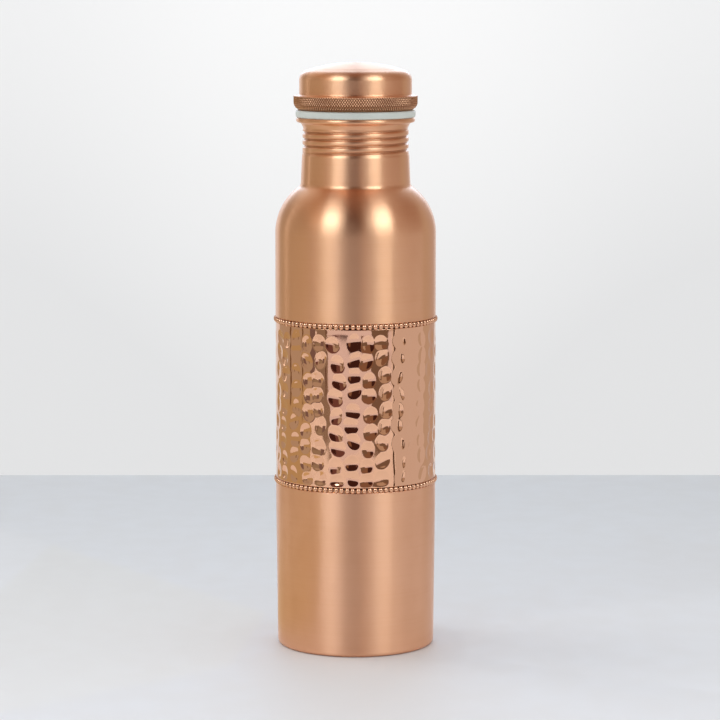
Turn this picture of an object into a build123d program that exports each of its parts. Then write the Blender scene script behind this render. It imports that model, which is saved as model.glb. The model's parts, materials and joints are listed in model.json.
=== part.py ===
from build123d import *
from math import acos, degrees, sqrt
import os

# Copper water bottle: a body of three brazed shells with a hammered waist band, two beaded
# wires over the joints, and a cap whose threaded plug screws into the rolled neck.
# Millimetres, +Z up, origin at the centre of the foot, on the surface that the bottle stands on.

# Sheet and overall size
SHEET = 0.5
BODY_R = 36.5
TOP_Z = 266.0
LOWER_WIRE_Z = 76.3
UPPER_WIRE_Z = 150.0
WIRE_GAP = 2.3  # between the shell edges on either side of a wire
CUP_TOP_Z = LOWER_WIRE_Z - WIRE_GAP / 2
UPPER_BOTTOM_Z = UPPER_WIRE_Z + WIRE_GAP / 2

# Lower cup
FOOT_R = 35.8  # the wall draws in a little towards the foot
FOOT_ROUND = 1.9
TAPER_TOP_Z = 66.0
FOOT_RING_R = 32.0  # inner radius of the ring that the bottle stands on
RECESS_R = 29.5
RECESS_Z = 2.4
BASE_CROWN = 1.2  # further rise of the base at its middle

# Hammered band, with a joggled spigot at each end that slips into its neighbour
SPIGOT_R = BODY_R - SHEET - 0.05
SPIGOT_REACH = 6.0  # beyond the wire gap
JOGGLE = 0.6  # height over which the band steps in

# Beaded wires
BEAD_COUNT = 90
BEAD_R = 1.1
BEAD_CENTRE_R = 36.3
BEAD_BACK_R = 36.03
WIRE_R = (36.0, 36.7)  # the flat wire that joins the beads
WIRE_HEIGHT = 1.3

# Shoulder, neck and lip. Points are radius and height.
SHOULDER_Z = 189.0
SHOULDER_R = 26.0
SHOULDER_CENTRE_R = BODY_R - SHOULDER_R
NECK_FILLET = 2.6
NECK_FOOT_R = 24.9
NECK_TOP = (24.3, 224.2)
LAND_FOOT = (24.05, 225.0)
LAND_TOP = (24.05, 236.2)
FLARE = (24.6, 238.6)
LIP_R = 26.9
LIP_TOP_Z = 241.3
LIP_THICKNESS = 2.2
LIP_ROUND = 1.0

# Rolled screw thread, right-handed: a groove outside is the same roll's ridge inside
PITCH = 3.05
GROOVE_R = 0.85
THREAD_START_Z = 225.65
THREAD_START_AZIMUTH = 210.0
THREAD_TURNS = 3.36

# Gasket
GASKET_R = (22.9, 27.15)
GASKET_TOP_Z = 244.6
GASKET_ROUND = 1.0

# Cap plug, a drawn cup with a thread outside and a flange at its top
PLUG_R = 22.4
PLUG_BOTTOM_Z = 221.5
PLUG_CORNER = 1.2
PLUG_THREAD_TURNS = 3.0
PLUG_CREST_R = 23.1
PLUG_RIDGE_FOOT_R = 22.2  # the ridge's flanks run into the sheet
PLUG_RIDGE_FOOT = 2.46  # widths of the ridge along the axis, at its foot and its crest
PLUG_RIDGE_CREST = 0.4
FLANGE_R = 24.5

# Knurled grip ring, a channel open towards the plug
RING_R = 28.15
RING_BORE_R = 22.45
RING_TOP_Z = 251.2
RING_FOOT_R = 24.65
RING_ROUND_TOP_Z = 248.2
RING_ROUND_VIA = (27.1, 245.65)
RING_WALL = 1.2
RING_WEB = 0.8
RING_EDGE = 0.25

# Cap crown
CROWN_R = 25.45
CROWN_FLARE = 0.85
CROWN_CORNER = 4.4
DOME_R = 75.0
DOME_DROP = DOME_R - sqrt(DOME_R**2 - CROWN_R**2)  # from the middle to the wall

os.makedirs("parts", exist_ok=True)


def thread_path(start_z, turns):
    """The thread's helix on the land's radius, from a height at the thread's own azimuth."""
    helix = Helix(PITCH, PITCH * turns, LAND_FOOT[0], center=(0, 0, start_z), mode=Mode.PRIVATE)
    return helix.rotate(Axis.Z, THREAD_START_AZIMUTH)


def square_to(path):
    """The plane across a path at its start, with local X pointing away from the axis."""
    start = path @ 0
    return Plane(origin=start, x_dir=Vector(start.X, start.Y, 0), z_dir=path % 0)


def save(builder, name):
    """Label a finished piece and write its STEP file."""
    builder.part.label = name
    export_step(builder.part, f"parts/{name}.step")


# Lower cup: wall, rounded foot and recessed base drawn from one sheet. Its section is drawn
# with a lid, hollowed by an inward offset, and the lid is trimmed off.
with BuildPart() as lower_cup:
    with BuildSketch(Plane.XZ) as cup_section:
        with BuildLine():
            Polyline(
                (0, RECESS_Z + BASE_CROWN),
                (0, CUP_TOP_Z + SHEET),
                (BODY_R, CUP_TOP_Z + SHEET),
                (BODY_R, TAPER_TOP_Z),
                (FOOT_R, 0),
                (FOOT_RING_R, 0),
                (RECESS_R, RECESS_Z),
            )
            base_crown_r = (RECESS_R**2 + BASE_CROWN**2) / (2 * BASE_CROWN)
            RadiusArc((RECESS_R, RECESS_Z), (0, RECESS_Z + BASE_CROWN), -base_crown_r)
        make_face()
        fillet(cup_section.vertices().sort_by_distance((FOOT_R, 0))[0], FOOT_ROUND)
        fillet(cup_section.vertices().sort_by_distance((FOOT_RING_R, 0))[0], SHEET)
        mirror(about=Plane.YZ)
        offset(amount=-SHEET, mode=Mode.SUBTRACT)
        split(bisect_by=Plane.YZ)
    revolve(axis=Axis.Z)
    split(bisect_by=Plane.XY.offset(CUP_TOP_Z), keep=Keep.BOTTOM)
save(lower_cup, "lower_cup")

# Hammered band: a tube that steps in at both ends
with BuildPart() as hammered_band:
    with BuildSketch(Plane.XZ):
        step_z = LOWER_WIRE_Z + WIRE_GAP / 2
        middle_z = (LOWER_WIRE_Z + UPPER_WIRE_Z) / 2
        end_z = step_z - WIRE_GAP - SPIGOT_REACH
        with BuildLine():
            Polyline(
                (BODY_R, middle_z),
                (BODY_R, step_z),
                (SPIGOT_R, step_z),
                (SPIGOT_R, end_z),
                (SPIGOT_R - SHEET, end_z),
                (SPIGOT_R - SHEET, step_z),
                (BODY_R - SHEET, step_z + JOGGLE),
                (BODY_R - SHEET, middle_z),
                close=True,
            )
        make_face()
        mirror(about=Plane.XZ.offset(-middle_z))
    revolve(axis=Axis.Z)
save(hammered_band, "hammered_band")

# One bead, on +X: a ball with a flat back that clears the spigot behind it
with BuildPart() as bead:
    with BuildSketch(Plane.XZ):
        with Locations((BEAD_CENTRE_R, 0)):
            Circle(BEAD_R)
        Rectangle(2 * BEAD_BACK_R, 4 * BEAD_R, mode=Mode.SUBTRACT)
        split(bisect_by=Plane.XZ)
    revolve(axis=Axis.X)

# Beaded wires: trim that covers each joint, a flat wire with its beads
for name, wire_z in (("lower_bead_ring", LOWER_WIRE_Z), ("upper_bead_ring", UPPER_WIRE_Z)):
    with BuildPart(Plane.XY.offset(wire_z)) as bead_ring:
        Cylinder(WIRE_R[1], WIRE_HEIGHT)
        Cylinder(WIRE_R[0], WIRE_HEIGHT, mode=Mode.SUBTRACT)
        with PolarLocations(0, BEAD_COUNT):
            add(bead)
    save(bead_ring, name)

# The roll that forms the neck's thread: everything that it pushes inside the land's radius
with BuildPart() as rolled_ridge:
    ridge_path = thread_path(THREAD_START_Z, THREAD_TURNS)
    with BuildSketch(square_to(ridge_path)):
        Circle(GROOVE_R + SHEET)
    sweep(path=ridge_path, is_frenet=True)
    with Locations(ridge_path @ 0, ridge_path @ 1):
        Sphere(GROOVE_R + SHEET)
    with Locations((0, 0, (LAND_FOOT[1] + LAND_TOP[1]) / 2)):
        Cylinder(LAND_FOOT[0] - SHEET / 2, 2 * (LAND_TOP[1] - LAND_FOOT[1]), mode=Mode.INTERSECT)

# Upper shell: wall, shoulder, neck with its rolled thread, and the curled lip
with BuildPart() as upper_shell:
    with BuildSketch(Plane.XZ) as upper_section:
        with BuildLine():
            Polyline(
                (0, LIP_TOP_Z + SHEET),
                (0, UPPER_BOTTOM_Z - SHEET),
                (BODY_R, UPPER_BOTTOM_Z - SHEET),
                (BODY_R, SHOULDER_Z),
            )
            shoulder_turn = degrees(acos((NECK_FOOT_R - SHOULDER_CENTRE_R) / SHOULDER_R))
            shoulder = CenterArc((SHOULDER_CENTRE_R, SHOULDER_Z), SHOULDER_R, 0, shoulder_turn)
            Polyline(
                shoulder @ 1,
                NECK_TOP,
                LAND_FOOT,
                LAND_TOP,
                FLARE,
                (FLARE[0], LIP_TOP_Z + SHEET),
                (0, LIP_TOP_Z + SHEET),
            )
        make_face()
        fillet(upper_section.vertices().sort_by_distance(shoulder @ 1)[0], NECK_FILLET)
        mirror(about=Plane.YZ)
        offset(amount=-SHEET, mode=Mode.SUBTRACT)
        split(bisect_by=Plane.YZ)
    revolve(axis=Axis.Z)
    split(bisect_by=Plane.XY.offset(UPPER_BOTTOM_Z), keep=Keep.TOP)
    split(bisect_by=Plane.XY.offset(LIP_TOP_Z), keep=Keep.BOTTOM)
    with BuildSketch(Plane.XZ) as lip_section:
        with Locations((FLARE[0] - SHEET / 2, LIP_TOP_Z)):
            Rectangle(LIP_R - FLARE[0] + SHEET / 2, LIP_THICKNESS, align=(Align.MIN, Align.MAX))
        fillet(lip_section.vertices().group_by(Axis.X)[-1], LIP_ROUND)
    revolve(axis=Axis.Z)
    add(rolled_ridge)
    groove_path = thread_path(THREAD_START_Z, THREAD_TURNS)
    with BuildSketch(square_to(groove_path)):
        Circle(GROOVE_R)
    sweep(path=groove_path, is_frenet=True, mode=Mode.SUBTRACT)
    with Locations(groove_path @ 0, groove_path @ 1):
        Sphere(GROOVE_R, mode=Mode.SUBTRACT)
save(upper_shell, "upper_shell")

# Gasket: a flat washer with a rounded rim, between the lip and the grip ring
with BuildPart() as sealing_gasket:
    with BuildSketch(Plane.XZ) as gasket_section:
        with Locations((GASKET_R[0], LIP_TOP_Z)):
            Rectangle(
                GASKET_R[1] - GASKET_R[0],
                GASKET_TOP_Z - LIP_TOP_Z,
                align=(Align.MIN, Align.MIN),
            )
        fillet(gasket_section.vertices().group_by(Axis.X)[-1], GASKET_ROUND)
    revolve(axis=Axis.Z)
save(sealing_gasket, "sealing_gasket")

# Knurled grip ring
with BuildPart() as knurled_grip_ring:
    with BuildSketch(Plane.XZ) as ring_section:
        with BuildLine():
            Polyline(
                (RING_FOOT_R, GASKET_TOP_Z),
                (RING_BORE_R, GASKET_TOP_Z),
                (RING_BORE_R, GASKET_TOP_Z + RING_WEB),
                (RING_FOOT_R, GASKET_TOP_Z + RING_WEB),
                (RING_R - RING_WALL, RING_ROUND_TOP_Z),
                (RING_R - RING_WALL, RING_TOP_Z - RING_WEB),
                (RING_BORE_R, RING_TOP_Z - RING_WEB),
                (RING_BORE_R, RING_TOP_Z),
                (RING_R, RING_TOP_Z),
                (RING_R, RING_ROUND_TOP_Z),
            )
            ThreePointArc((RING_R, RING_ROUND_TOP_Z), RING_ROUND_VIA, (RING_FOOT_R, GASKET_TOP_Z))
        make_face()
        chamfer(ring_section.vertices().sort_by_distance((RING_R, RING_TOP_Z))[0], RING_EDGE)
    revolve(axis=Axis.Z)
save(knurled_grip_ring, "knurled_grip_ring")

# Threaded plug: it hangs in the ring by its flange, inside the crown
with BuildPart() as threaded_plug:
    with BuildSketch(Plane.XZ) as plug_section:
        with Locations((0, PLUG_BOTTOM_Z)):
            Rectangle(PLUG_R, RING_TOP_Z + SHEET - PLUG_BOTTOM_Z, align=(Align.MIN, Align.MIN))
        fillet(plug_section.vertices().sort_by_distance((PLUG_R, PLUG_BOTTOM_Z))[0], PLUG_CORNER)
        with Locations((0, RING_TOP_Z)):
            Rectangle(FLANGE_R, SHEET, align=(Align.MIN, Align.MIN))
    revolve(axis=Axis.Z)
    with BuildSketch(Plane.XZ) as plug_hollow:
        with Locations((0, PLUG_BOTTOM_Z + SHEET)):
            Rectangle(PLUG_R - SHEET, RING_TOP_Z - PLUG_BOTTOM_Z, align=(Align.MIN, Align.MIN))
        inner_corner = plug_hollow.vertices().sort_by_distance((PLUG_R, PLUG_BOTTOM_Z))[0]
        fillet(inner_corner, PLUG_CORNER - SHEET)
    revolve(axis=Axis.Z, mode=Mode.SUBTRACT)
    plug_path = thread_path(THREAD_START_Z - PITCH / 2, PLUG_THREAD_TURNS)
    with BuildSketch(square_to(plug_path)):
        with BuildLine():
            Polyline(
                (PLUG_RIDGE_FOOT_R - LAND_FOOT[0], -PLUG_RIDGE_FOOT / 2),
                (PLUG_CREST_R - LAND_FOOT[0], -PLUG_RIDGE_CREST / 2),
                (PLUG_CREST_R - LAND_FOOT[0], PLUG_RIDGE_CREST / 2),
                (PLUG_RIDGE_FOOT_R - LAND_FOOT[0], PLUG_RIDGE_FOOT / 2),
                close=True,
            )
        make_face()
    sweep(path=plug_path, is_frenet=True)
save(threaded_plug, "threaded_plug")

# Cap crown: a spun dome with a flared foot that stands on the grip ring
with BuildPart() as cap_crown:
    with BuildSketch(Plane.XZ) as crown_section:
        with BuildLine():
            RadiusArc((0, TOP_Z), (CROWN_R, TOP_Z - DOME_DROP), DOME_R)
            Polyline(
                (CROWN_R, TOP_Z - DOME_DROP),
                (CROWN_R, RING_TOP_Z - SHEET),
                (0, RING_TOP_Z - SHEET),
                (0, TOP_Z),
            )
        make_face()
        fillet(crown_section.vertices().sort_by_distance((CROWN_R, TOP_Z))[0], CROWN_CORNER)
        mirror(about=Plane.YZ)
        offset(amount=-SHEET, mode=Mode.SUBTRACT)
        split(bisect_by=Plane.YZ)
    revolve(axis=Axis.Z)
    split(bisect_by=Plane.XY.offset(RING_TOP_Z), keep=Keep.TOP)
    with BuildSketch(Plane.XZ):
        with BuildLine():
            Polyline(
                (CROWN_R, RING_TOP_Z + CROWN_FLARE),
                (CROWN_R - SHEET / 2, RING_TOP_Z + CROWN_FLARE),
                (CROWN_R - SHEET / 2, RING_TOP_Z),
                (CROWN_R + CROWN_FLARE, RING_TOP_Z),
            )
            RadiusArc(
                (CROWN_R + CROWN_FLARE, RING_TOP_Z),
                (CROWN_R, RING_TOP_Z + CROWN_FLARE),
                CROWN_FLARE,
            )
        make_face()
    revolve(axis=Axis.Z)
save(cap_crown, "cap_crown")
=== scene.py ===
import json
import math

import bpy
import numpy as np
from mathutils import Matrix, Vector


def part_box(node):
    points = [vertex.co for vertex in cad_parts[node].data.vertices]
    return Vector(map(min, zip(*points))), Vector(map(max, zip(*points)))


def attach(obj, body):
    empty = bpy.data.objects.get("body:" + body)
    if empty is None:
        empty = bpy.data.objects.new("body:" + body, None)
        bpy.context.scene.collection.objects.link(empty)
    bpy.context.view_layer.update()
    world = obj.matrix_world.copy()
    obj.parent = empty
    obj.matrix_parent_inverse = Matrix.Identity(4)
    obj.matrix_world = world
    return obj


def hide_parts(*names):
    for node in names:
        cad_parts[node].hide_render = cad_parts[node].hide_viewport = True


# Copper water bottle. Outlines are in millimetres, as (radius, height), and become metres when a
# mesh is made. Azimuths are in radians, counter-clockwise from +X seen from above.

MM = 0.001
TAU = 2 * math.pi

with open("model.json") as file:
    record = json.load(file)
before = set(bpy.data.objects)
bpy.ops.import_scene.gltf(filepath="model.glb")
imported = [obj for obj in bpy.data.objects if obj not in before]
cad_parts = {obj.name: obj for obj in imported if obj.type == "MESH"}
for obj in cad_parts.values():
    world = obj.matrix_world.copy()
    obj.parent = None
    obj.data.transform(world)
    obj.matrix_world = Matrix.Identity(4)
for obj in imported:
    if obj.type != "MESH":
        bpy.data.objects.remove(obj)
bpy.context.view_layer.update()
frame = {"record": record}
rng = np.random.default_rng(11)  # places the dents, then varies the beads


def extent(node):
    """Outer radius, bottom and top of a CAD node, in millimetres."""
    low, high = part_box(node)
    return max(high.x, high.y) / MM, low.z / MM, high.z / MM


# ------------------------------------------------------------------ sizes, from the frame

SHEET = 0.5  # thickness of the copper
EDGE = 0.12  # bevel on a shell's cut edge
BEAD_OVAL = 0.28  # how much further a bead reaches up and down than the CAD's round one
SPIGOT_GAP = 0.05  # between a spigot and the shell round it
BODY_R, _, CUP_TOP = extent("lower_cup")
_, UPPER_BOTTOM, LIP_TOP = extent("upper_shell")
_, SPIGOT_BOTTOM, SPIGOT_TOP = extent("hammered_band")
BEAD_OUTER_R, LOWER_RING_BOTTOM, LOWER_RING_TOP = extent("lower_bead_ring")
_, UPPER_RING_BOTTOM, UPPER_RING_TOP = extent("upper_bead_ring")
LOWER_RING_Z = (LOWER_RING_BOTTOM + LOWER_RING_TOP) / 2
UPPER_RING_Z = (UPPER_RING_BOTTOM + UPPER_RING_TOP) / 2
BEAD_HALF_HEIGHT = (LOWER_RING_TOP - LOWER_RING_BOTTOM) / 2 + BEAD_OVAL
BAND_BOTTOM = 2 * LOWER_RING_Z - CUP_TOP
BAND_TOP = 2 * UPPER_RING_Z - UPPER_BOTTOM
SPIGOT_R = BODY_R - SHEET - SPIGOT_GAP
GASKET_R, GASKET_BOTTOM, GASKET_TOP = extent("sealing_gasket")
RING_R, RING_BOTTOM, RING_TOP = extent("knurled_grip_ring")
CROWN_FOOT_R, CROWN_BOTTOM, CROWN_TOP = extent("cap_crown")
FLANGE_R, PLUG_BOTTOM, PLUG_TOP = extent("threaded_plug")
# the coupling turns the cap by this many radians for each metre that it rises
PITCH = TAU / frame["record"]["behaviour"]["couplings"][0]["ratio"] / MM

# ------------------------------------------------------------------ outlines


def arc(centre, radius, start, end, step=0.3):
    """Points on an arc, from one angle to another in degrees, 0 being outward and 90 up."""
    count = max(3, math.ceil(abs(math.radians(end - start)) * radius / step))
    turns = np.radians(np.linspace(start, end, count + 1))
    return [(centre[0] + radius * math.cos(t), centre[1] + radius * math.sin(t)) for t in turns]


def rounded(corners, closed=False, step=4.0, fine=0.15):
    """A dense path through (radius, height, corner radius) points, with each corner rounded."""
    path = []
    last = len(corners) - 1
    for i, (r, z, bend) in enumerate(corners):
        here = np.array((r, z), float)
        if bend == 0 or (not closed and i in (0, last)):
            path.append(here)
            continue
        back = np.array(corners[i - 1][:2]) - here
        ahead = np.array(corners[(i + 1) % len(corners)][:2]) - here
        back /= np.linalg.norm(back)
        ahead /= np.linalg.norm(ahead)
        half = math.acos(float(np.clip(back @ ahead, -1, 1))) / 2
        middle = (back + ahead) / np.linalg.norm(back + ahead)
        centre = here + middle * bend / math.sin(half)
        start = here + back * bend / math.tan(half) - centre
        end = here + ahead * bend / math.tan(half) - centre
        turn = math.pi - 2 * half
        side = math.copysign(1, start[0] * end[1] - start[1] * end[0])
        count = max(4, math.ceil(turn * bend / fine))
        for a in np.linspace(0, side * turn, count + 1):
            c, s = math.cos(a), math.sin(a)
            path.append(centre + (start[0] * c - start[1] * s, start[0] * s + start[1] * c))
    return divided(path, step, closed)


def divided(path, step, closed=False):
    """The same path with its long runs cut so that no step is longer than that."""
    out = []
    ends = path[1:] + [path[0]] if closed else path[1:]
    for a, b in zip(path, ends):
        a, b = np.array(a), np.array(b)
        count = max(1, math.ceil(np.linalg.norm(b - a) / step))
        out += [tuple(a + (b - a) * i / count) for i in range(count)]
    return out if closed else out + [tuple(path[-1])]


def inset(path, amount):
    """The path moved square to itself, towards the left of its direction of travel."""
    p = np.array(path)
    along = np.gradient(p, axis=0)
    along /= np.linalg.norm(along, axis=1)[:, None]
    return [tuple(v) for v in p + np.stack([-along[:, 1], along[:, 0]], axis=1) * amount]


def mixed(low, high, share):
    """Smooth step from 0 to 1 between two values."""
    t = np.clip((share - low) / (high - low), 0, 1)
    return t * t * (3 - 2 * t)


# ------------------------------------------------------------------ meshes


def new_object(name, verts, faces, recess):
    """A smooth-shaded mesh object from millimetres; recess is 1 in a hollow and 0 on a crest, and sets
    painted shade.
    """
    mesh = bpy.data.meshes.new(name)
    mesh.from_pydata((np.asarray(verts) * MM).tolist(), [], faces)
    layer = mesh.attributes.new("recess", "FLOAT", "POINT")
    layer.data.foreach_set("value", np.asarray(recess, np.float32))
    mesh.polygons.foreach_set("use_smooth", np.ones(len(mesh.polygons), bool))
    mesh.update()
    piece = bpy.data.objects.new(name, mesh)
    bpy.context.scene.collection.objects.link(piece)
    return piece


def quads_round(index, closed):
    """Faces between the neighbouring points of a grid whose columns go round the axis."""
    upper = np.roll(index, -1, axis=0) if closed else index[1:]
    lower = index if closed else index[:-1]
    corners = [lower, np.roll(lower, -1, axis=1), np.roll(upper, -1, axis=1), upper]
    return np.stack(corners, axis=2).reshape(-1, 4).tolist()


def lathed(name, path, columns=256, closed=False, relief=None, square=False):
    """The path turned round +Z; an open path starts and ends on the axis. relief(azimuth, radius,
    height, row) gives the change of radius and the recess, where row counts along the path. With
    square, the change is made square to the outline, away from the left of its travel."""
    p = np.array(path)
    around = np.arange(columns) * TAU / columns
    a, r = np.meshgrid(around, p[:, 0])
    z = np.repeat(p[:, 1][:, None], columns, axis=1)
    recess = np.zeros_like(r)
    if relief:
        row = np.repeat(np.arange(len(p))[:, None], columns, axis=1)
        change, recess = relief(a, r, z, row)
        if square:
            along = np.roll(p, -1, axis=0) - np.roll(p, 1, axis=0)
            along /= np.linalg.norm(along, axis=1)[:, None]
            z = z - change * along[:, :1]
            change = change * along[:, 1:]
        r = r + change
    verts = np.stack([r * np.cos(a), r * np.sin(a), z], axis=2)
    if not closed:
        verts, recess = verts[1:-1], recess[1:-1]
    index = np.arange(verts.shape[0] * columns).reshape(-1, columns)
    faces = quads_round(index, closed)
    verts, recess = verts.reshape(-1, 3), recess.reshape(-1)
    if not closed:
        first, last = len(verts), len(verts) + 1
        verts = np.vstack([verts, [0, 0, p[0, 1]], [0, 0, p[-1, 1]]])
        recess = np.append(recess, [0, 0])
        faces += np.stack([np.full(columns, first), np.roll(index[0], -1), index[0]], axis=1).tolist()
        faces += np.stack([np.full(columns, last), index[-1], np.roll(index[-1], -1)], axis=1).tolist()
    return new_object(name, verts, faces, recess)


def stand_for(piece, body, node, material):
    """The piece rides on its body in place of a CAD node and its material."""
    piece.data.materials.append(material)
    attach(piece, body)
    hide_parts(node)


# ------------------------------------------------------------------ materials


class Nodes:
    """Short calls for building one material's node tree."""

    def __init__(self, name):
        self.material = bpy.data.materials.new(name)
        self.material.use_nodes = True
        self.tree = self.material.node_tree
        self.shader = next(n for n in self.tree.nodes if n.type == "BSDF_PRINCIPLED")

    def add(self, kind, **settings):
        node = self.tree.nodes.new("ShaderNode" + kind)
        for key, value in settings.items():
            setattr(node, key, value)
        return node

    def put(self, socket, value):
        """Links an output to a socket, or sets the socket's own value."""
        if isinstance(value, bpy.types.NodeSocket):
            self.tree.links.new(value, socket)
        else:
            socket.default_value = value

    def math(self, operation, a, b=0.0):
        node = self.add("Math", operation=operation)
        for socket, value in zip(node.inputs, (a, b)):
            self.put(socket, value)
        return node.outputs[0]

    def noise(self, vector, scale, detail=3.0, roughness=0.55):
        node = self.add("TexNoise")
        self.put(node.inputs["Vector"], vector)
        node.inputs["Scale"].default_value = scale
        node.inputs["Detail"].default_value = detail
        node.inputs["Roughness"].default_value = roughness
        return node.outputs["Fac"]

    def ramp(self, value, low, high, to_low=0.0, to_high=1.0):
        node = self.add("MapRange", interpolation_type="SMOOTHSTEP")
        for socket, v in zip(node.inputs, (value, low, high, to_low, to_high)):
            self.put(socket, v)
        return node.outputs["Result"]

    def blend(self, share, a, b):
        node = self.add("Mix", data_type="RGBA", blend_type="MIX")
        self.put(node.inputs["Factor"], share)
        self.put(node.inputs["A"], a)
        self.put(node.inputs["B"], b)
        return node.outputs["Result"]

    def place(self):
        """Object coordinates, whole and as their x, y and z."""
        where = self.add("TexCoord").outputs["Object"]
        parts = self.add("SeparateXYZ")
        self.put(parts.inputs[0], where)
        return where, parts.outputs

    def lines_round_axis(self, along, across):
        """A vector whose noise runs in rings round +Z, like the marks of a lathe or a belt."""
        _, (x, y, z) = self.place()
        squares = self.math("ADD", self.math("MULTIPLY", x, x), self.math("MULTIPLY", y, y))
        radius = self.math("SQRT", squares)
        level = self.math("SUBTRACT", z, radius)
        vector = self.add("CombineXYZ")
        self.put(vector.inputs[0], self.math("MULTIPLY", x, along))
        self.put(vector.inputs[1], self.math("MULTIPLY", y, along))
        self.put(vector.inputs[2], self.math("MULTIPLY", level, across))
        return vector.outputs[0]

    def bump(self, height, distance, strength):
        node = self.add("Bump")
        node.inputs["Strength"].default_value = strength
        node.inputs["Distance"].default_value = distance
        self.put(node.inputs["Height"], height)
        return node.outputs[0]

    # The recess attribute, which masks the painted shade in hollows.
    def recess(self):
        return self.add("Attribute", attribute_name="recess").outputs["Fac"]


def rgb(r, g, b):
    return (r, g, b, 1.0)


COPPER = rgb(0.92, 0.50, 0.29)
COPPER_WARM = rgb(0.86, 0.44, 0.24)
COPPER_PALE = rgb(0.95, 0.57, 0.36)
# the brown that the painted shade in hollows darkens copper towards
COPPER_IN_SHADE = rgb(0.16, 0.06, 0.03)
COPPER_CUP = rgb(0.95, 0.52, 0.325)
COPPER_POLISHED = rgb(0.93, 0.525, 0.335)
SILICONE = rgb(0.56, 0.60, 0.55)
SILICONE_PALE = rgb(0.66, 0.69, 0.64)
TABLE_FAR = rgb(0.55, 0.545, 0.54)
TABLE_NEAR = rgb(0.85, 0.84, 0.845)
WALL_SHADED = rgb(0.66, 0.665, 0.685)
WALL_PALE = rgb(0.86, 0.86, 0.87)
WALL_GLOW = rgb(0.141, 0.134, 0.108)
QUARTER_TURN = 0.25  # sets the highlight across the marks that go round the axis
BRUSH_RELIEF = 0.00001  # metres
SILICONE_RELIEF = 0.00002


def copper(name, roughness, anisotropy, brush, tint=COPPER, stain=0.25, hollow_shade=0.0):
    """Bare copper. brush is how strongly the marks round the axis show, stain how far patches of
    its tint turn to a warmer one, and the last how far its hollows get painted shade and roughness."""
    n = Nodes(name)
    shader = n.shader
    shader.inputs["Metallic"].default_value = 1.0
    shader.inputs["Anisotropic"].default_value = anisotropy
    shader.inputs["Anisotropic Rotation"].default_value = QUARTER_TURN
    tangent = n.add("Tangent", direction_type="RADIAL", axis="Z")
    n.put(shader.inputs["Tangent"], tangent.outputs[0])
    where, _ = n.place()
    fine = n.noise(n.lines_round_axis(30.0, 5200.0), 1.0, 4.0, 0.65)
    broad = n.noise(n.lines_round_axis(12.0, 700.0), 1.0, 3.0)
    cloud = n.noise(where, 38.0, 4.0)
    patch = n.noise(where, 150.0, 3.0)
    warm = n.ramp(cloud, 0.38, 0.66, 0.0, stain)
    colour = n.blend(warm, tint, COPPER_WARM)
    colour = n.blend(n.ramp(fine, 0.3, 0.7, 0.0, 0.30 * brush), colour, COPPER_PALE)
    colour = n.blend(n.ramp(broad, 0.4, 0.75, 0.0, 0.14 * brush), colour, COPPER_WARM)
    # Painted shade: the hollows that the recess attribute marks are darkened towards brown.
    if hollow_shade:
        colour = n.blend(n.math("MULTIPLY", n.recess(), hollow_shade), colour, COPPER_IN_SHADE)
    n.put(shader.inputs["Base Color"], colour)
    rough = n.math("ADD", n.ramp(patch, 0.4, 0.7, -0.01, 0.02), roughness)
    rough = n.math("ADD", rough, n.ramp(fine, 0.3, 0.7, -0.03 * brush, 0.04 * brush))
    if hollow_shade:
        rough = n.math("ADD", rough, n.math("MULTIPLY", n.recess(), 0.2 * hollow_shade))
    n.put(shader.inputs["Roughness"], rough)
    if brush:
        n.put(shader.inputs["Normal"], n.bump(fine, BRUSH_RELIEF, 0.3 * brush))
    return n.material


def silicone(name):
    """Milky, slightly translucent silicone with a fine matt grain."""
    n = Nodes(name)
    shader = n.shader
    where, _ = n.place()
    cloud = n.noise(where, 90.0, 3.0)
    n.put(shader.inputs["Base Color"], n.blend(cloud, SILICONE, SILICONE_PALE))
    shader.inputs["Subsurface Weight"].default_value = 0.35
    shader.inputs["Subsurface Radius"].default_value = (0.9, 1.0, 0.9)
    shader.inputs["Subsurface Scale"].default_value = 0.0012
    n.put(shader.inputs["Roughness"], n.ramp(n.noise(where, 700.0), 0.3, 0.7, 0.38, 0.5))
    n.put(shader.inputs["Normal"], n.bump(n.noise(where, 2600.0), SILICONE_RELIEF, 0.3))
    return n.material


def table_top(name):
    """A pale matt table, with painted shade making it a little darker towards its far edge."""
    n = Nodes(name)
    where, (_, y, _) = n.place()
    shade = n.math("ADD", n.ramp(y, 0.5, -0.6), n.math("MULTIPLY", n.noise(where, 4.0), 0.06))
    n.put(n.shader.inputs["Base Color"], n.blend(shade, TABLE_FAR, TABLE_NEAR))
    n.put(n.shader.inputs["Roughness"], n.ramp(n.noise(where, 60.0), 0.3, 0.7, 0.6, 0.7))
    return n.material


def backdrop(name):
    """A pale wall, with painted shade making it a little darker towards the table and the sides, and a
    faint glow of its own.
    """
    n = Nodes(name)
    where, (x, _, z) = n.place()
    shade = n.math("ADD", n.ramp(z, -0.22, 0.32), n.math("MULTIPLY", n.noise(where, 3.0), 0.04))
    shade = n.math("SUBTRACT", shade, n.ramp(n.math("ABSOLUTE", x), 0.05, 0.38, 0.0, 0.45))
    n.put(n.shader.inputs["Base Color"], n.blend(shade, WALL_SHADED, WALL_PALE))
    n.shader.inputs["Roughness"].default_value = 0.9
    n.shader.inputs["Emission Color"].default_value = WALL_GLOW
    n.shader.inputs["Emission Strength"].default_value = 1.0
    return n.material


def glow(name, colour, strength=1.0):
    """A surface that only gives out light."""
    material = bpy.data.materials.new(name)
    material.use_nodes = True
    tree = material.node_tree
    tree.nodes.clear()
    emission = tree.nodes.new("ShaderNodeEmission")
    emission.inputs["Color"].default_value = colour
    emission.inputs["Strength"].default_value = strength
    output = tree.nodes.new("ShaderNodeOutputMaterial")
    tree.links.new(emission.outputs[0], output.inputs["Surface"])
    return material


# ------------------------------------------------------------------ body

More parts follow.
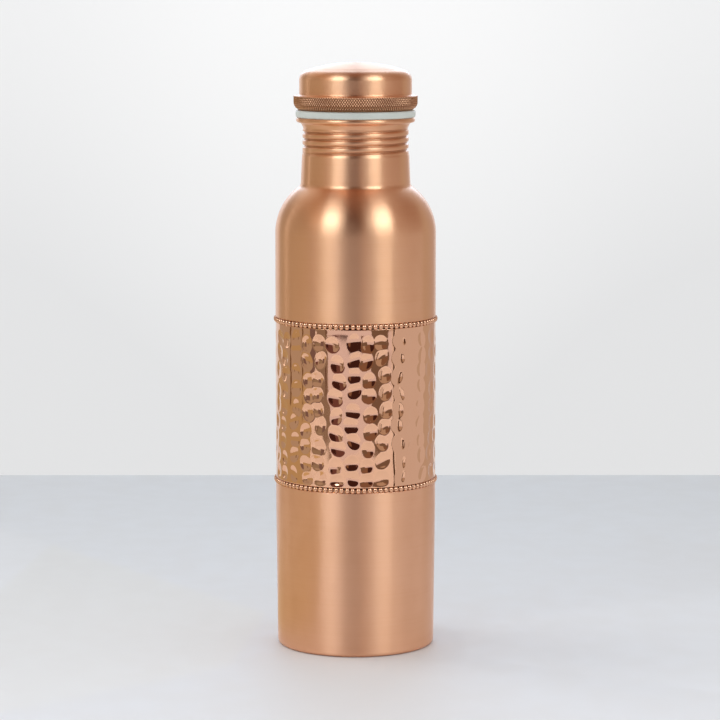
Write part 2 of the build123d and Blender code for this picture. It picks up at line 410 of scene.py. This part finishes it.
FOOT_R = BODY_R - 0.7  # the wall draws in a little towards the foot
FOOT_RING_R = 32.0  # inner radius of the ring that the bottle stands on
TAPER_TOP = 66.0
RECESS_R = 29.5
RECESS_Z = 2.4
BASE_CROWN = 1.2


def make_lower_cup():
    """Wall, rounded foot and recessed base, outside and then inside."""
    dome_r = (RECESS_R**2 + BASE_CROWN**2) / (2 * BASE_CROWN)
    dome_edge = math.degrees(math.asin((RECESS_R - 1.5) / dome_r))
    outside = arc((0, RECESS_Z + BASE_CROWN - dome_r), dome_r, 90, 90 - dome_edge, 2.5)
    outside += rounded(
        [
            (RECESS_R - 1.0, RECESS_Z + 0.08, 0),
            (RECESS_R, RECESS_Z, 0.8),
            (FOOT_RING_R, 0.0, 0.8),
            (FOOT_R - 0.02, 0.0, 1.9),
            (BODY_R, TAPER_TOP, 60.0),
            (BODY_R, CUP_TOP - 0.3, 0),
        ],
        step=3.0,
    )
    outside.append((BODY_R, CUP_TOP - EDGE))
    inside = inset(outside, SHEET)[::-1]
    inside[-1] = (0, inside[-1][1])
    outside[0] = (0, outside[0][1])
    rim = [(BODY_R - EDGE, CUP_TOP), (BODY_R - SHEET + 0.1, CUP_TOP)]
    piece = lathed("lower_cup_copper", outside + rim + inside, 288)
    stand_for(piece, "bottle", "lower_cup", brushed)


DENT_ROWS = 9
DENT_COLUMNS = 31
DENT_MARGIN = (4.0, 6.2)  # from the band's lower and upper edge to the outer rows' middles
DENT_HALF_WIDTH = 3.2
DENT_HALF_HEIGHT = 3.7
DENT_DEPTH = 0.46
DENT_LIFT = 2.2  # most that a whole column is shifted up or down
DENT_SCATTER = 0.6  # spread of each dent's height
DENT_WANDER = 1.1  # spread of the sideways step from one dent to the next in a column
DENT_START = 0.35  # spread of a column's first sideways shift
DENT_MEMORY = 0.65  # share of the last dent's sideways shift that the next one keeps
EDGE_ROW_SHARE = 0.35  # of the shift and scatter in height that the outer rows get
BAND_EDGE = 0.2  # rounding of the band's two edges
BAND_COLUMNS = 520


def dent_places():
    """Azimuth and height of each dent's middle: columns that wander as a hand's work does."""
    bottom = BAND_BOTTOM + DENT_MARGIN[0]
    gap = (BAND_TOP - DENT_MARGIN[1] - bottom) / (DENT_ROWS - 1)
    places = []
    for column in range(DENT_COLUMNS):
        drift = rng.normal(0, DENT_START)
        lift = rng.uniform(-DENT_LIFT, DENT_LIFT)
        for row in range(DENT_ROWS):
            drift = DENT_MEMORY * drift + rng.normal(0, DENT_WANDER)
            inner = 1.0 if 0 < row < DENT_ROWS - 1 else EDGE_ROW_SHARE
            height = bottom + gap * row + (lift + rng.normal(0, DENT_SCATTER)) * inner
            places.append((TAU * column / DENT_COLUMNS + drift / BODY_R, height))
    return places


def dent_depths(azimuth, height):
    """How far the hammer has pushed the sheet in at each point of a grid."""
    depth = np.zeros_like(height)
    columns = height.shape[1]
    draw = np.random.default_rng(5)
    for place, z in dents:
        half_width = DENT_HALF_WIDTH * draw.uniform(0.84, 1.12)
        half_height = DENT_HALF_HEIGHT * draw.uniform(0.88, 1.1)
        deep = DENT_DEPTH * draw.uniform(0.7, 1.25)
        lean = draw.normal(0, 0.12)
        reach = int(1.4 * half_width / BODY_R / TAU * columns) + 2
        middle = round(place / TAU * columns)
        near = np.arange(middle - reach, middle + reach + 1) % columns
        rows = np.flatnonzero(np.abs(height[:, 0] - z) < 1.3 * half_height)
        patch = np.ix_(rows, near)
        across = (azimuth[patch] - place + math.pi) % TAU - math.pi
        u = (across * BODY_R + lean * (height[patch] - z)) / half_width
        v = (height[patch] - z) / half_height
        depth[patch] = np.maximum(depth[patch], deep * (1 - u * u - v * v))
    return depth


def dented(azimuth, radius, height, row):
    """The hammered surface: dents with crisp rims in a sheet that is itself not quite true."""
    depth = dent_depths(azimuth, height)
    ripple = 0.035 + 0.02 * np.sin(7 * azimuth + 0.21 * height)
    ripple = ripple + 0.015 * np.sin(13 * azimuth - 0.33 * height)
    within = mixed(BAND_BOTTOM + 0.3, BAND_BOTTOM + 2.5, height)
    within = within * (1 - mixed(BAND_TOP - 2.5, BAND_TOP - 0.3, height))
    return -(depth + ripple) * within, depth / DENT_DEPTH


def make_band():
    """The hammered tube with its joggled spigots; the dents stand in on the inside too."""
    low, high = BAND_BOTTOM + 0.4, BAND_TOP - 0.4
    foot = [(SPIGOT_R, SPIGOT_BOTTOM, 0), (SPIGOT_R, BAND_BOTTOM, 0)]
    foot += [(BODY_R, BAND_BOTTOM, BAND_EDGE), (BODY_R, low, 0)]
    head = [(BODY_R, high, 0), (BODY_R, BAND_TOP, BAND_EDGE)]
    head += [(SPIGOT_R, BAND_TOP, 0), (SPIGOT_R, SPIGOT_TOP, 0)]
    outside = rounded(foot)
    outside += divided([(BODY_R, low), (BODY_R, high)], 0.5)[1:-1]
    outside += rounded(head)
    wall_r = BODY_R - SHEET
    spigot_r = SPIGOT_R - SHEET
    inside = [(spigot_r, SPIGOT_TOP), (spigot_r, BAND_TOP), (wall_r, BAND_TOP - 0.6)]
    inside += divided([(wall_r, BAND_TOP - 0.7), (wall_r, BAND_BOTTOM + 0.7)], 2.0)
    inside += [(wall_r, BAND_BOTTOM + 0.6), (spigot_r, BAND_BOTTOM), (spigot_r, SPIGOT_BOTTOM)]
    path = outside + inside
    piece = lathed("hammered_band_copper", path, BAND_COLUMNS, closed=True, relief=dented)
    stand_for(piece, "bottle", "hammered_band", hammered)


BEAD_COUNT = 90
BEAD_R = 1.18
BEAD_CENTRE_R = BEAD_OUTER_R - BEAD_R
BEAD_BACK_R = 36.03
BEAD_BACK = BEAD_CENTRE_R - BEAD_BACK_R  # from a bead's middle to its flat back
BEAD_RECESS_REACH = 1.1  # how far out from its back a bead counts as hollow and gets painted shade
WIRE_R = (36.02, 36.7)
WIRE_HEIGHT = 1.3
# share of painted shade over the whole wire under the beads
WIRE_RECESS = 0.9


def bead(columns=14, rows=9):
    """One upright oval bead's points and faces, +X away from the bottle and its back flat."""
    verts, faces = [(0, 0, BEAD_HALF_HEIGHT)], []
    for i in range(1, rows):
        tilt = math.pi * i / rows
        for j in range(columns):
            turn = TAU * (j + 0.5) / columns
            x = BEAD_R * math.sin(tilt) * math.cos(turn)
            y = BEAD_R * math.sin(tilt) * math.sin(turn)
            verts.append((max(x, -BEAD_BACK), y, BEAD_HALF_HEIGHT * math.cos(tilt)))
    verts.append((0, 0, -BEAD_HALF_HEIGHT))
    for i in range(rows - 2):
        for j in range(columns):
            k = 1 + i * columns
            m = (j + 1) % columns
            faces.append((k + j, k + columns + j, k + columns + m, k + m))
    last = len(verts) - 1
    for j in range(columns):
        m = (j + 1) % columns
        faces.append((0, 1 + j, 1 + m))
        faces.append((last, last - columns + m, last - columns + j))
    return np.array(verts), faces


def make_bead_ring(node, z):
    """The flat wire with its row of beads."""
    low, high = z - WIRE_HEIGHT / 2, z + WIRE_HEIGHT / 2
    section = [(WIRE_R[0], low, 0), (WIRE_R[1], low, 0.2), (WIRE_R[1], high, 0.2), (WIRE_R[0], high, 0)]
    path = np.array(rounded(section, fine=0.08))
    columns = 4 * BEAD_COUNT
    a, r = np.meshgrid(np.arange(columns) * TAU / columns, path[:, 0])
    level = np.repeat(path[:, 1][:, None], columns, axis=1)
    verts = [np.stack([r * np.cos(a), r * np.sin(a), level], axis=2).reshape(-1, 3)]
    faces = quads_round(np.arange(r.size).reshape(r.shape), closed=True)
    ball, ball_faces = bead()
    hollow = [np.full(r.size, WIRE_RECESS)]
    count = r.size
    for i in range(BEAD_COUNT):
        size = rng.uniform(0.94, 1.0)
        turn = TAU * (i + rng.uniform(-0.04, 0.04)) / BEAD_COUNT
        x, y = BEAD_CENTRE_R + ball[:, 0], ball[:, 1] * size
        spun = (x * math.cos(turn) - y * math.sin(turn), x * math.sin(turn) + y * math.cos(turn))
        verts.append(np.stack([*spun, z + ball[:, 2] * size], axis=1))
        faces += [[count + k for k in face] for face in ball_faces]
        hollow.append(np.clip(1.0 - (ball[:, 0] + BEAD_BACK) / BEAD_RECESS_REACH, 0, 1))
        count += len(ball)
    piece = new_object(node + "_copper", np.vstack(verts), faces, np.concatenate(hollow))
    stand_for(piece, "bottle", node, beaded)


SHOULDER_Z = 189.0
SHOULDER_R = 26.0
NECK_FOOT_R = 24.9
LAND_R = 24.05  # of the stretch of the neck that carries the thread
LAND_BOTTOM = 225.2
LAND_TOP = 235.2
THREAD_START_Z = 225.65
THREAD_AZIMUTH = math.radians(210)
THREAD_TURNS = 3.36
THREAD_DEPTH = 0.9
THREAD_SHARPNESS = 3.0
LIP_R = 26.9
LIP_BORE_R = 24.1
LIP_ROUND = 0.95


def helix_share(azimuth, height, start_z, turns, sharpness):
    """1 on a helix of the thread's pitch, falling to 0 halfway between its turns."""
    around = (azimuth - THREAD_AZIMUTH) / TAU % 1
    level = (height - start_z) / PITCH - around
    nearest = np.round(level)
    turn = nearest + around
    within = mixed(-0.1, 0.1, turn) * (1 - mixed(turns - 0.1, turns + 0.1, turn))
    return within * (0.5 + 0.5 * np.cos(TAU * (level - nearest))) ** sharpness


def make_upper_shell():
    """Wall, shoulder, neck with its rolled thread, and the curled lip."""
    centre_r = BODY_R - SHOULDER_R
    shoulder_end = math.degrees(math.acos((NECK_FOOT_R - centre_r) / SHOULDER_R))
    outside = [(BODY_R, UPPER_BOTTOM + EDGE)]
    outside += divided([(BODY_R, UPPER_BOTTOM + 0.3), (BODY_R, SHOULDER_Z)], 4.0)[:-1]
    outside += arc((centre_r, SHOULDER_Z), SHOULDER_R, 0, shoulder_end - 6, 1.0)
    turn = math.radians(shoulder_end)
    outside += rounded(
        [
            (*outside[-1], 0),
            (NECK_FOOT_R, SHOULDER_Z + SHOULDER_R * math.sin(turn), 2.6),
            (24.3, 224.2, 2.0),
            (LAND_R, LAND_BOTTOM - 0.2, 0),
        ],
        step=1.0,
    )[1:]
    outside += divided([(LAND_R, LAND_BOTTOM), (LAND_R, LAND_TOP)], 0.16)
    outside += rounded(
        [
            (LAND_R, LAND_TOP + 0.2, 0),
            (23.62, 236.5, 1.2),
            (24.9, 239.12, 1.6),
            (LIP_R, LIP_TOP - 2.2, LIP_ROUND),
            (LIP_R, LIP_TOP, LIP_ROUND),
            (LIP_BORE_R, LIP_TOP, 0.3),
            (LIP_BORE_R, LIP_TOP - 2.3, 0),
        ],
        step=0.5,
    )
    lip_rows = len(outside)
    inside = [(23.9, 238.2), (23.2, 236.9), (23.2, 236.1), (23.5, 235.5)]
    inside += divided([(LAND_R - SHEET, LAND_TOP), (LAND_R - SHEET, LAND_BOTTOM)], 0.34)
    inside += [(23.7, 224.0), (24.35, 212.5)]
    inside += arc((centre_r, SHOULDER_Z), SHOULDER_R - SHEET, shoulder_end - 3, 0, 2.0)
    inside += divided([(BODY_R - SHEET, SHOULDER_Z - 1.0), (BODY_R - SHEET, UPPER_BOTTOM + 0.1)], 5.0)
    inside += [(BODY_R - SHEET + 0.1, UPPER_BOTTOM), (BODY_R - EDGE, UPPER_BOTTOM)]

    def rolled(azimuth, radius, height, row):
        share = helix_share(azimuth, height, THREAD_START_Z, THREAD_TURNS, THREAD_SHARPNESS)
        share = share * mixed(223.6, 224.8, height) * (1 - mixed(236.2, 237.2, height))
        # Painted shade: the thread's grooves, and the whole inside of the shell.
        return -THREAD_DEPTH * share, np.where(row < lip_rows, share, 1.0)

    piece = lathed("upper_shell_copper", outside + inside, 384, closed=True, relief=rolled)
    stand_for(piece, "bottle", "upper_shell", spun)


# ------------------------------------------------------------------ cap


GASKET_BORE_R = 22.9
GASKET_ROUND = 1.0


def make_gasket():
    """A flat washer with a rounded rim, a little uneven as moulded silicone is."""
    section = [(GASKET_BORE_R, GASKET_BOTTOM, 0.2), (GASKET_R, GASKET_BOTTOM, GASKET_ROUND)]
    section += [(GASKET_R, GASKET_TOP, GASKET_ROUND), (GASKET_BORE_R, GASKET_TOP, 0.2)]
    path = rounded(section, closed=True, step=0.6)

    def uneven(azimuth, radius, height, row):
        outer = mixed(GASKET_R - 1.5, GASKET_R, radius)
        wave = 0.03 + 0.018 * np.sin(3 * azimuth + 1.0) + 0.01 * np.sin(8 * azimuth)
        return -wave * outer, np.zeros_like(radius)

    piece = lathed("sealing_gasket_silicone", path, 288, closed=True, relief=uneven)
    stand_for(piece, "gasket", "sealing_gasket", rubber)


KNURL_COUNT = 148
KNURL_PERIOD = 1.7
KNURL_DEPTH = 0.42
RING_ROUND_TOP = 248.2
RING_ROUND_VIA = (27.1, 245.65)
RING_FOOT_R = 24.65
RING_BORE_R = 22.45
RING_WALL = 1.2
RING_WEB = 0.8


def rim_circle(a, b, c):
    """Centre and radius of the circle through three points."""
    (ax, ay), (bx, by), (cx, cy) = a, b, c
    d = 2 * (ax * (by - cy) + bx * (cy - ay) + cx * (ay - by))
    aa, bb, cc = ax * ax + ay * ay, bx * bx + by * by, cx * cx + cy * cy
    x = (aa * (by - cy) + bb * (cy - ay) + cc * (ay - by)) / d
    y = (aa * (cx - bx) + bb * (ax - cx) + cc * (bx - ax)) / d
    return (x, y), math.hypot(ax - x, ay - y)


def make_grip_ring():
    """The channel with its knurled rim: pyramids left between two sets of slanting grooves."""
    centre, radius = rim_circle((RING_R, RING_ROUND_TOP), RING_ROUND_VIA, (RING_FOOT_R, RING_BOTTOM))
    low = math.degrees(math.atan2(RING_BOTTOM - centre[1], RING_FOOT_R - centre[0]))
    high = math.degrees(math.atan2(RING_ROUND_TOP - centre[1], RING_R - centre[0]))
    rim = arc(centre, radius, low, high, 0.12)
    rim += divided([(RING_R, RING_ROUND_TOP + 0.1), (RING_R, RING_TOP - 0.3)], 0.12)
    knurled_rows = len(rim)
    inner_r = RING_R - RING_WALL
    section = rim + [(RING_R - 0.12, RING_TOP - 0.06), (RING_R - 0.3, RING_TOP)]
    section += [(27.0, RING_TOP), (25.0, RING_TOP), (RING_BORE_R, RING_TOP)]
    section += [(RING_BORE_R, RING_TOP - RING_WEB), (inner_r, RING_TOP - RING_WEB)]
    section += [(inner_r, RING_ROUND_TOP), (RING_FOOT_R, RING_BOTTOM + RING_WEB)]
    section += [(RING_BORE_R, RING_BOTTOM + RING_WEB), (RING_BORE_R, RING_BOTTOM)]

    def knurled(azimuth, radius, height, row):
        across = KNURL_COUNT * azimuth / TAU
        up = height / KNURL_PERIOD
        one = 1 - 2 * np.abs((across + up) - np.round(across + up))
        two = 1 - 2 * np.abs((across - up) - np.round(across - up))
        groove = np.maximum(one, two)
        share = mixed(RING_BOTTOM + 0.1, RING_BOTTOM + 0.7, height)
        share = share * (1 - mixed(RING_TOP - 0.45, RING_TOP - 0.2, height)) * (row < knurled_rows)
        # The grooves carry painted shade.
        return -KNURL_DEPTH * groove * share, mixed(0.3, 0.85, groove) * share

    columns = 8 * KNURL_COUNT
    piece = lathed("knurled_grip_ring_copper", section, columns, True, knurled, square=True)
    stand_for(piece, "cap", "knurled_grip_ring", knurl)


PLUG_R = 22.4
PLUG_RIDGE = 0.7
PLUG_TURNS = 3.0
PLUG_SHARPNESS = 2.4
PLUG_THREAD_BOTTOM = 223.2
PLUG_THREAD_TOP = 235.0


def make_plug():
    """The threaded cup inside the neck, and its flange under the crown."""
    bore_r, floor = PLUG_R - SHEET, PLUG_BOTTOM + SHEET
    foot = [(0, PLUG_BOTTOM, 0), (PLUG_R, PLUG_BOTTOM, 1.2), (PLUG_R, PLUG_THREAD_BOTTOM - 0.2, 0)]
    path = rounded(foot, step=2.0)
    path += divided([(PLUG_R, PLUG_THREAD_BOTTOM), (PLUG_R, PLUG_THREAD_TOP)], 0.17)
    path += [(PLUG_R, 240.0), (PLUG_R, 246.0), (PLUG_R, PLUG_TOP - SHEET - 0.02)]
    path += [(FLANGE_R, PLUG_TOP - SHEET), (FLANGE_R, PLUG_TOP - 0.02), (bore_r, PLUG_TOP)]
    path += [(bore_r, 246.0), (bore_r, PLUG_THREAD_TOP), (bore_r, PLUG_THREAD_BOTTOM + 0.2)]
    path += rounded([(bore_r, PLUG_THREAD_BOTTOM, 0), (bore_r, floor, 0.7), (0, floor, 0)], step=3.0)

    def threaded(azimuth, radius, height, row):
        start = THREAD_START_Z - PITCH / 2
        share = helix_share(azimuth, height, start, PLUG_TURNS, PLUG_SHARPNESS)
        share = share * (radius > PLUG_R - 0.1) * (height < 237)
        # Painted shade, at half strength, everywhere off the thread's ridges.
        return PLUG_RIDGE * share, 0.5 * (1 - share)

    piece = lathed("threaded_plug_copper", path, 320, relief=threaded)
    stand_for(piece, "cap", "threaded_plug", inner_metal)


CROWN_R = 25.45  # of the upright wall
CROWN_CORNER = 4.6
DOME_R = 75.0
DOME_MARGIN = 5.4  # from the wall to where the dome meets the corner's rounding


def make_crown():
    """The spun dome with its flared foot."""
    drop = DOME_R - math.sqrt(DOME_R**2 - CROWN_R**2)
    edge = math.degrees(math.asin((CROWN_R - DOME_MARGIN - 0.2) / DOME_R))
    joint_r = CROWN_R - DOME_MARGIN
    joint_z = CROWN_TOP - drop * (joint_r / CROWN_R) ** 2
    inner_r = CROWN_R - SHEET
    outside = arc((0, CROWN_TOP - DOME_R), DOME_R, 90, 90 - edge, 1.5)
    outside[0] = (0, CROWN_TOP)
    outside += rounded(
        [
            (joint_r, joint_z, 0),
            (CROWN_R, CROWN_TOP - drop - 0.1, CROWN_CORNER),
            (CROWN_R, CROWN_BOTTOM + 0.05, 0.8),
            (CROWN_FOOT_R, CROWN_BOTTOM + 0.05, 0),
        ],
        step=1.0,
    )
    foot = [(CROWN_FOOT_R, CROWN_BOTTOM), (inner_r, CROWN_BOTTOM)]
    inside = [(inner_r, CROWN_BOTTOM + 1.0), (inner_r, CROWN_TOP - drop - 4.8)]
    inside += rounded(
        [
            (inner_r, CROWN_TOP - drop - 4.7, 0),
            (inner_r, CROWN_TOP - drop - 0.6, CROWN_CORNER - SHEET),
            (joint_r, joint_z - SHEET, 0),
            (0, CROWN_TOP - SHEET, 0),
        ],
        step=2.0,
    )
    piece = lathed("cap_crown_copper", outside + foot + inside, 288)
    stand_for(piece, "cap", "cap_crown", brushed_cap)


# ------------------------------------------------------------------ studio

# The stage and the camera's place are in metres.

TABLE_FRONT = -1.15
TABLE_BACK = 0.457
WALL_Y = 1.6
CEILING_Z = 2.0
STAGE_HALF_WIDTH = 4.0
CARD_ON_FLOOR_Z = 0.001


def stage_plane(name, corners, material):
    """A flat four-cornered piece of the stage."""
    mesh = bpy.data.meshes.new(name)
    mesh.from_pydata(corners, [], [(0, 1, 2, 3)])
    mesh.materials.append(material)
    plane = bpy.data.objects.new(name, mesh)
    bpy.context.scene.collection.objects.link(plane)
    return plane


def only_reflected(plane):
    """The plane shows in reflections, and neither to the camera nor as light on the floor."""
    plane.visible_camera = False
    plane.visible_shadow = False
    plane.visible_diffuse = False


def card(name, azimuths, heights, distance, colour, strength=1.0, top=None):
    """An upright glowing card, seen only in reflections. Azimuths are degrees from the bottle's
    front, positive to the right; heights are its lower and upper edge. Its upper edge may have
    azimuths of its own, for a card that leans or tapers."""
    corners = []
    for height, ends in zip(heights, (azimuths, (top or azimuths)[::-1])):
        reach = distance / math.cos(math.radians(ends[1] - ends[0]) / 2)
        for azimuth in ends:
            turn = math.radians(azimuth)
            corners.append((reach * math.sin(turn), -reach * math.cos(turn), height))
    only_reflected(stage_plane(name, corners, glow(name, colour, strength)))


def floor_card(name, azimuths, reaches, colour):
    """A straight-edged stretch of the table between two distances from the bottle, seen only in
    reflections."""
    corners = []
    widen = 1 / math.cos(math.radians(azimuths[1] - azimuths[0]) / 2)
    for reach, ends in zip(reaches, (azimuths, azimuths[::-1])):
        for azimuth in ends:
            turn = math.radians(azimuth)
            x, y = reach * widen * math.sin(turn), -reach * widen * math.cos(turn)
            corners.append((x, y, CARD_ON_FLOOR_Z))
    only_reflected(stage_plane(name, corners, glow(name, colour)))


def make_room():
    """The table, the wall behind it, a dim ceiling that only reflections see, and the sky light."""
    left, right = -STAGE_HALF_WIDTH, STAGE_HALF_WIDTH
    near, far = TABLE_FRONT, TABLE_BACK
    floor = [(left, near, 0), (right, near, 0), (right, far, 0), (left, far, 0)]
    stage_plane("floor", floor, table_top("floor"))
    wall = [(left, WALL_Y, -2), (right, WALL_Y, -2), (right, WALL_Y, 3), (left, WALL_Y, 3)]
    stage_plane("wall", wall, backdrop("wall"))
    plan = [(-2.5, -3.0), (2.5, -3.0), (2.5, 1.0), (-2.5, 1.0)]
    ceiling = [(x, y, CEILING_Z) for x, y in plan]
    only_reflected(stage_plane("ceiling", ceiling, glow("ceiling", rgb(0.26, 0.12, 0.07))))
    world = bpy.data.worlds.new("world")
    bpy.context.scene.world = world
    world.use_nodes = True
    background = world.node_tree.nodes["Background"]
    background.inputs["Color"].default_value = rgb(0.97, 0.98, 1.0)
    background.inputs["Strength"].default_value = 0.95


def make_lamp():
    """A weak soft lamp from the left, which the metal doesn't mirror."""
    lamp = bpy.data.lights.new("key", "AREA")
    lamp.shape = "DISK"
    lamp.size = 0.7
    lamp.energy = 3.0
    key = bpy.data.objects.new("key", lamp)
    key.location = (-0.75, 0.25, 1.25)
    key.rotation_euler = key.location.to_track_quat("Z", "Y").to_euler()
    key.visible_glossy = False
    bpy.context.scene.collection.objects.link(key)


def make_cards():
    """What the metal mirrors: a dark room, soft boxes, stands, boards and the table round it."""
    white = rgb(1.0, 1.18, 1.28)
    card("dark_left", (-34, -21), (-1.2, 2.4), 1.3, rgb(0.15, 0.075, 0.07))
    card("dark_middle", (-21, 8), (-1.2, 2.4), 1.3, rgb(0.05, 0.02, 0.016))
    card("dark_right", (8, 34), (-1.2, 2.4), 1.3, rgb(0.22, 0.135, 0.09))
    card("softbox_left", (-53, -26), (0.58, 1.4), 1.2, white, 4.2)
    card("softbox_left_edge", (-26, -17), (0.58, 1.4), 1.2, white, 1.4)
    card("softbox_right", (29, 62), (0.58, 1.4), 1.2, white, 4.2)
    card("softbox_right_edge", (17, 29), (0.58, 1.4), 1.2, white, 1.2)
    card("fill_left", (-98, -53), (0.5, 0.9), 1.2, rgb(1.0, 0.9, 0.8), 1.5)
    card("fill_right", (62, 74), (0.30, 1.1), 1.1, white, 1.2)
    card("upper_left", (-130, -62), (0.75, 1.9), 0.9, rgb(0.42, 0.27, 0.17))
    card("upper_right", (57, 140), (0.205, 0.8), 0.31, rgb(0.36, 0.25, 0.20))
    card("under_left", (-84, -34), (0.0, 0.58), 1.19, rgb(0.42, 0.37, 0.31))
    card("under_right", (34, 62), (0.0, 0.58), 1.19, rgb(0.45, 0.38, 0.31))
    card("stand_left_foot", (-44, -33), (0.0, 0.07), 0.62, rgb(0.26, 0.22, 0.18), top=(-58, -41))
    card("stand_left", (-58, -41), (0.07, 0.16), 0.62, rgb(0.30, 0.27, 0.21))
    card("stand_left_side", (-67, -58), (0.02, 0.16), 0.62, rgb(0.19, 0.145, 0.145))
    card("stand_left_edge", (-42.5, -41), (0.04, 0.17), 0.61, rgb(0.12, 0.07, 0.05))
    card("stand_right_foot", (23, 33), (0.0, 0.07), 0.60, rgb(0.18, 0.135, 0.105), top=(21, 47))
    card("stand_right", (21, 47), (0.07, 0.13), 0.60, rgb(0.18, 0.135, 0.105))
    card("slit_right", (52.5, 55), (0.0, 0.30), 0.31, rgb(0.08, 0.045, 0.025))
    card("reflector_right", (57, 122), (0.0, 0.205), 0.3, rgb(0.61, 0.595, 0.60))
    card("edge_right", (126, 150), (0.0, 0.8), 0.3, rgb(0.50, 0.45, 0.42))
    card("gap_right", (108, 126), (0.0, 0.3), 0.29, rgb(0.50, 0.46, 0.40))
    card("mauve_left", (-140, -67), (0.0, 0.32), 0.86, rgb(0.44, 0.40, 0.33))
    card("brown_left", (-150, -67), (0.32, 0.75), 0.9, rgb(0.38, 0.33, 0.27))
    card("line_left", (-107, -103.5), (0.0, 0.075), 0.8, rgb(0.18, 0.115, 0.06))
    card("line_left_low", (-82, -79.5), (0.0, 0.075), 0.8, rgb(0.18, 0.115, 0.06))
    card("line_left_high", (-117, -114), (0.085, 1.4), 0.8, rgb(1.4, 1.4, 1.4))
    card("back_glow", (160, 200), (0.42, 2.2), 1.4, rgb(1.15, 1.60, 2.2), 1.5)
    floor_card("gold_board", (-145, -67), (0.37, 0.86), rgb(0.47, 0.40, 0.235))
    floor_card("near_left_gold", (-145, -48), (0.05, 0.19), rgb(0.60, 0.52, 0.32))
    floor_card("near_left_pale", (-145, -48), (0.19, 0.37), rgb(0.76, 0.74, 0.74))
    floor_card("near_right", (57, 122), (0.05, 0.30), rgb(0.61, 0.595, 0.60))
    floor_card("pale_front", (-41, 52), (0.56, 1.14), rgb(0.71, 0.71, 0.81))


CAMERA_PLACE = (0, -1.3476, 0.3056)
CAMERA_DIP = 7.397  # degrees that it looks down
CAMERA_YAW = -0.0848  # degrees
LENS_MM = 148.79
SENSOR_MM = 36.0


def make_camera():
    """The camera at the photograph's viewing angle."""
    lens = bpy.data.cameras.new("camera")
    lens.sensor_width = SENSOR_MM
    lens.lens = LENS_MM
    camera = bpy.data.objects.new("camera", lens)
    camera.location = CAMERA_PLACE
    camera.rotation_euler = (math.radians(90 - CAMERA_DIP), 0, math.radians(CAMERA_YAW))
    bpy.context.scene.collection.objects.link(camera)
    bpy.context.scene.camera = camera


# ------------------------------------------------------------------ the whole scene

brushed = copper("brushed_copper_cup", 0.36, 0.92, 1.0, tint=COPPER_CUP)
spun = copper("brushed_copper_shell", 0.35, 0.88, 0.9, hollow_shade=0.35)
brushed_cap = copper("brushed_copper_cap", 0.36, 0.82, 0.9)
hammered = copper("hammered_copper", 0.05, 0.0, 0.0, tint=COPPER_POLISHED, stain=0.12)
beaded = copper("beaded_copper", 0.12, 0.0, 0.0, tint=COPPER_POLISHED, hollow_shade=0.8)
knurl = copper("knurled_copper", 0.17, 0.0, 0.0, hollow_shade=1.0)
inner_metal = copper("inner_copper", 0.3, 0.4, 0.6, hollow_shade=0.3)
rubber = silicone("gasket_silicone")

dents = dent_places()

make_camera()
make_room()
make_lamp()
make_cards()
make_lower_cup()
make_band()
make_bead_ring("lower_bead_ring", LOWER_RING_Z)
make_bead_ring("upper_bead_ring", UPPER_RING_Z)
make_upper_shell()
make_gasket()
make_grip_ring()
make_plug()
make_crown()

bpy.context.scene.view_settings.view_transform = "Standard"
